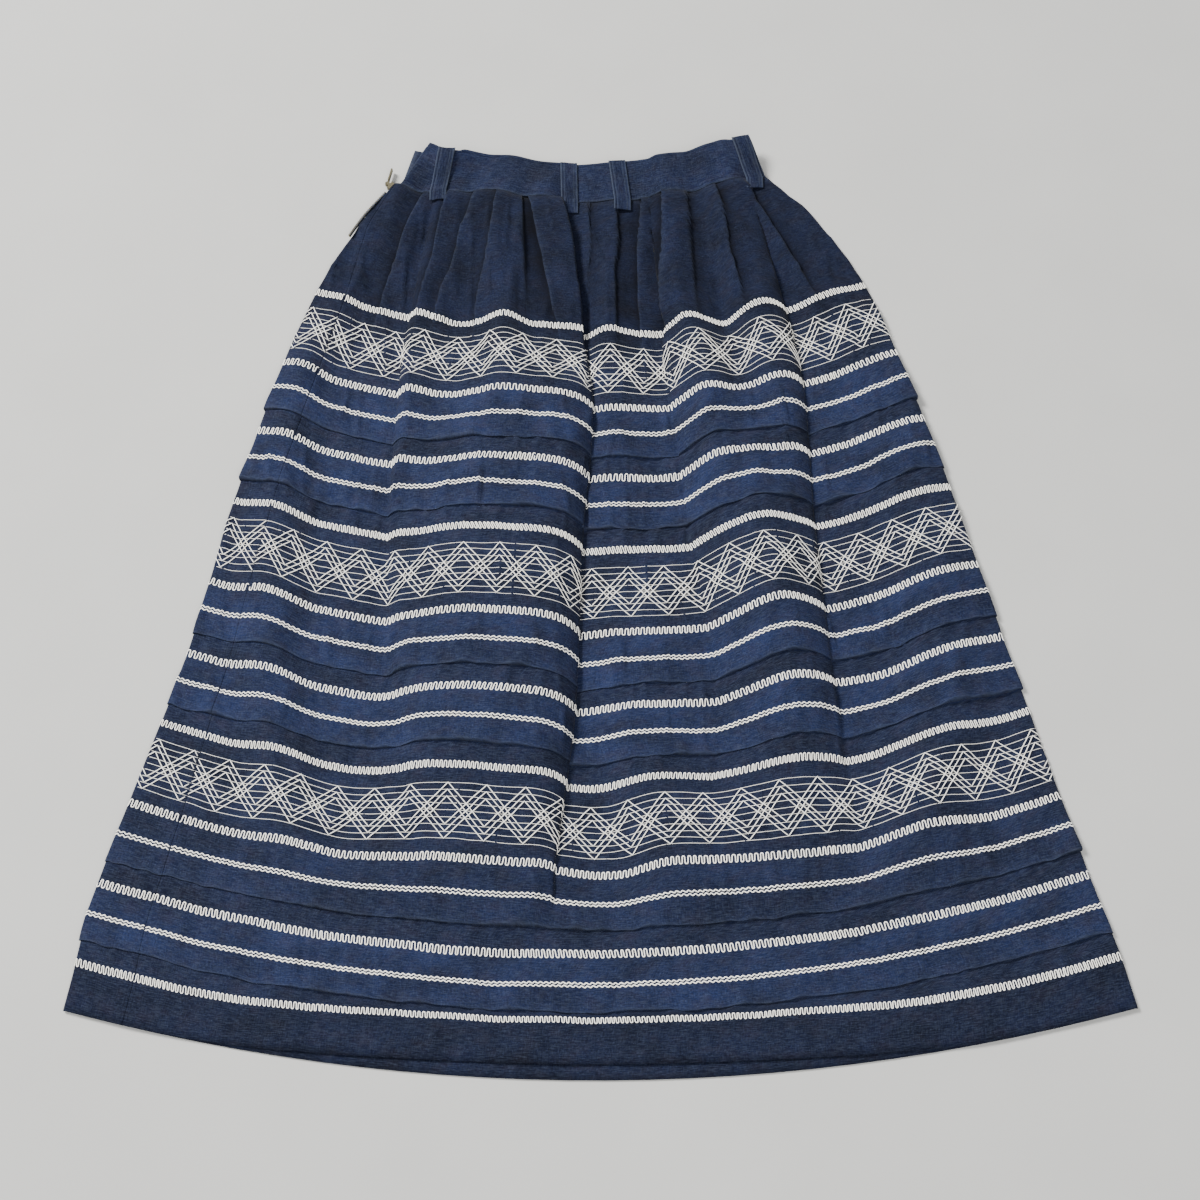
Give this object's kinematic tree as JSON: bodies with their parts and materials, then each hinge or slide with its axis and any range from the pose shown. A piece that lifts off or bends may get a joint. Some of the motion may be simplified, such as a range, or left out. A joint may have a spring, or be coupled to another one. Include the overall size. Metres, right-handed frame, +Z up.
{
  "type": "embroidered tucked midi skirt",
  "caption": "Gathered A-line denim skirt laid flat, with sewn tucks, a waistband with belt loops and a side zip.",
  "frame": {"origin": "on the surface that the skirt lies on, in the middle of its outline's box", "axes": "+Z up from the surface, +Y from the hem to the waist, +X to the right of the laid skirt"},
  "size_m": [0.811, 0.8166, 0.0276],
  "materials": {
    "denim": "matte twill",
    "dark_denim": "matte twill",
    "embroidery_thread": "two-ply cotton, soft gloss",
    "aged_brass": "satin, darkened"
  },
  "bodies": {
    "garment": {"front_panel": "denim", "back_panel": "dark_denim", "waistband_front": "denim", "waistband_back": "dark_denim", "belt_loop_1": "denim", "belt_loop_2": "denim", "belt_loop_3": "denim", "belt_loop_4": "denim", "zip_chain": "aged_brass", "zip_slider": "aged_brass"},
    "zip_pull": {"zip_pull": "aged_brass"}
  },
  "joints": [
    {"name": "zip_pull_swing", "type": "hinge", "parent": "garment", "child": "zip_pull", "pos_m": [-0.19044, 0.36624, 0], "axis": [0, 0, 1], "range_deg": [0, 150]}
  ]
}
